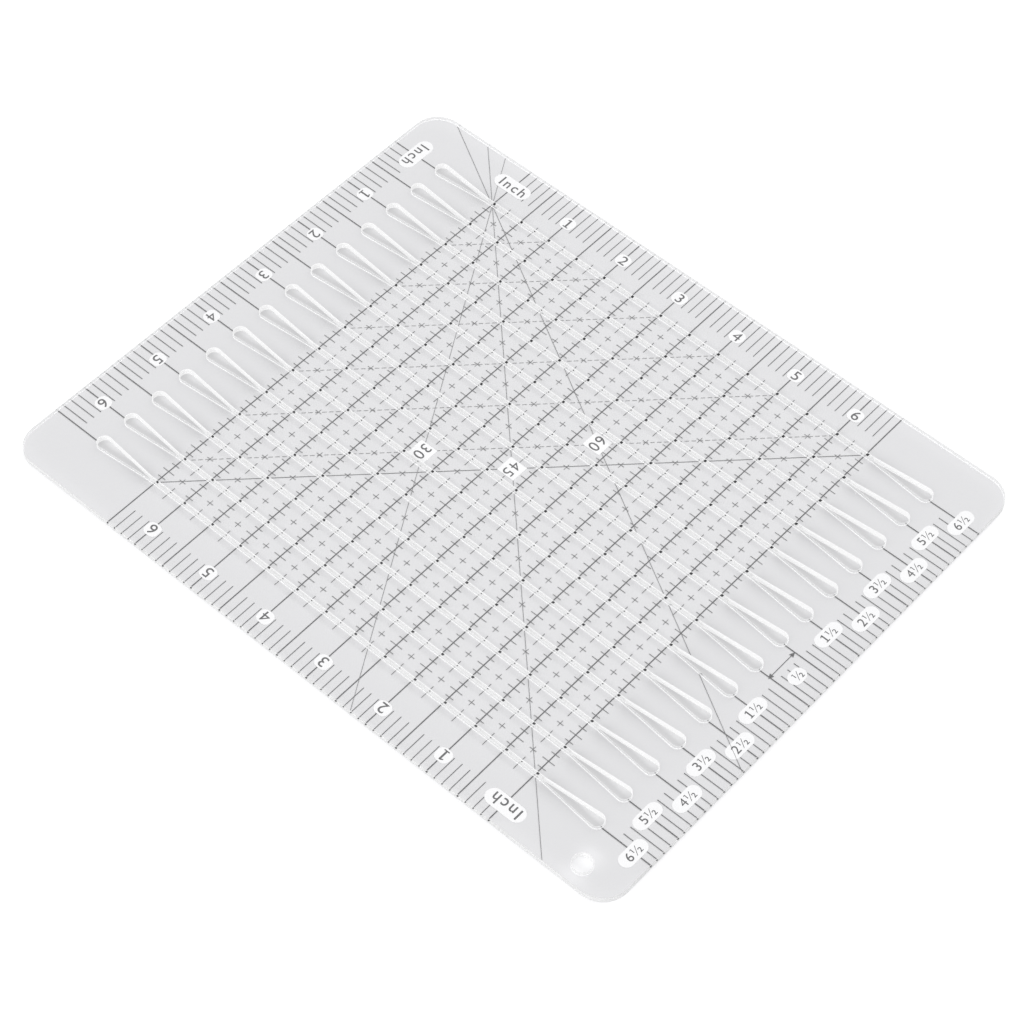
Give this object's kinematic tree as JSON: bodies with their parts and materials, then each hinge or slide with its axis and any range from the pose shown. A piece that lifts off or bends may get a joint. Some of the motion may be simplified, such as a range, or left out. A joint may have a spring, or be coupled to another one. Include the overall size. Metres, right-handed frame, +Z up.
{
  "type": "quilting ruler",
  "caption": "Flat clear acrylic rectangle with rounded corners, a row of parallel cutting slots with teardrop ends, a hanging hole, and white ink number patches under its inch scales.",
  "frame": {"origin": "under the middle of the plate, on the surface that the ruler lies on", "axes": "+X along the cutting slots, towards the scale with the half inch pills; +Y across the slots, away from the hanging hole; +Z up, out of the plate's plain upper face"},
  "size_m": [0.2574, 0.2072, 0.0026],
  "materials": {
    "clear_acrylic": "clear polished acrylic sheet, laser cut edges",
    "white_ink": "opaque white screen printed ink",
    "black_ink": "black screen printed ink"
  },
  "bodies": {
    "root": {"acrylic_plate": "clear_acrylic", "angle_label_30": "white_ink", "angle_label_45": "white_ink", "angle_label_60": "white_ink", "far_scale_1": "white_ink", "far_scale_2": "white_ink", "far_scale_3": "white_ink", "far_scale_4": "white_ink", "far_scale_5": "white_ink", "far_scale_6": "white_ink", "far_scale_word": "white_ink", "left_scale_1": "white_ink", "left_scale_2": "white_ink", "left_scale_3": "white_ink", "left_scale_4": "white_ink", "left_scale_5": "white_ink", "left_scale_6": "white_ink", "left_scale_word": "white_ink", "near_scale_1": "white_ink", "near_scale_2": "white_ink", "near_scale_3": "white_ink", "near_scale_4": "white_ink", "near_scale_5": "white_ink", "near_scale_6": "white_ink", "near_scale_word": "white_ink", "right_scale_far_1_half": "white_ink", "right_scale_far_2_half": "white_ink", "right_scale_far_3_half": "white_ink", "right_scale_far_4_half": "white_ink", "right_scale_far_5_half": "white_ink", "right_scale_far_6_half": "white_ink", "right_scale_half": "white_ink", "right_scale_near_1_half": "white_ink", "right_scale_near_2_half": "white_ink", "right_scale_near_3_half": "white_ink", "right_scale_near_4_half": "white_ink", "right_scale_near_5_half": "white_ink", "right_scale_near_6_half": "white_ink"}
  },
  "joints": []
}
